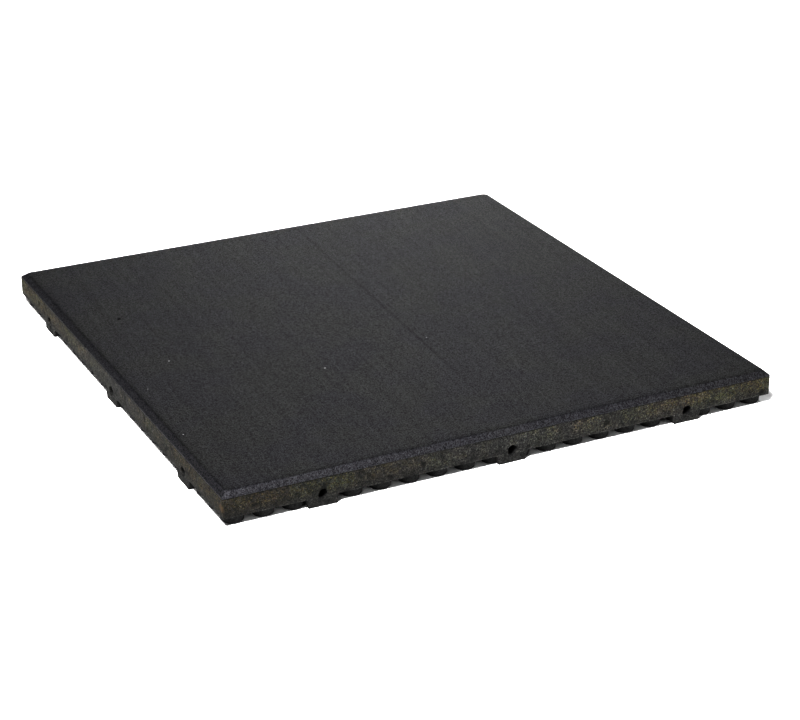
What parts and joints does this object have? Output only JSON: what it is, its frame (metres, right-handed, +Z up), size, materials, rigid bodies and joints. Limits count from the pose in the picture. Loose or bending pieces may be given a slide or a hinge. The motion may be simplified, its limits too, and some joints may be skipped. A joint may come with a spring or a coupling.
{
  "type": "rubber gym floor tile",
  "caption": "Square two-layer crumb rubber gym floor tile: bevelled compact wear layer on a coarse base with round feet and pin sockets along every side.",
  "frame": {"origin": "on the floor under the middle of the tile, in the plane of the feet's tips", "axes": "+Z up through the tile's thickness, +X and +Y along its two equal sides"},
  "size_m": [0.5, 0.5, 0.03],
  "materials": {
    "base_crumb": "open coarse crumb, matt, olive and brown specks",
    "wear_surface": "fine compact crumb, satin matt, faint straight streaks"
  },
  "bodies": {
    "root": {"base_layer": "base_crumb", "wear_layer": "wear_surface"}
  },
  "joints": []
}
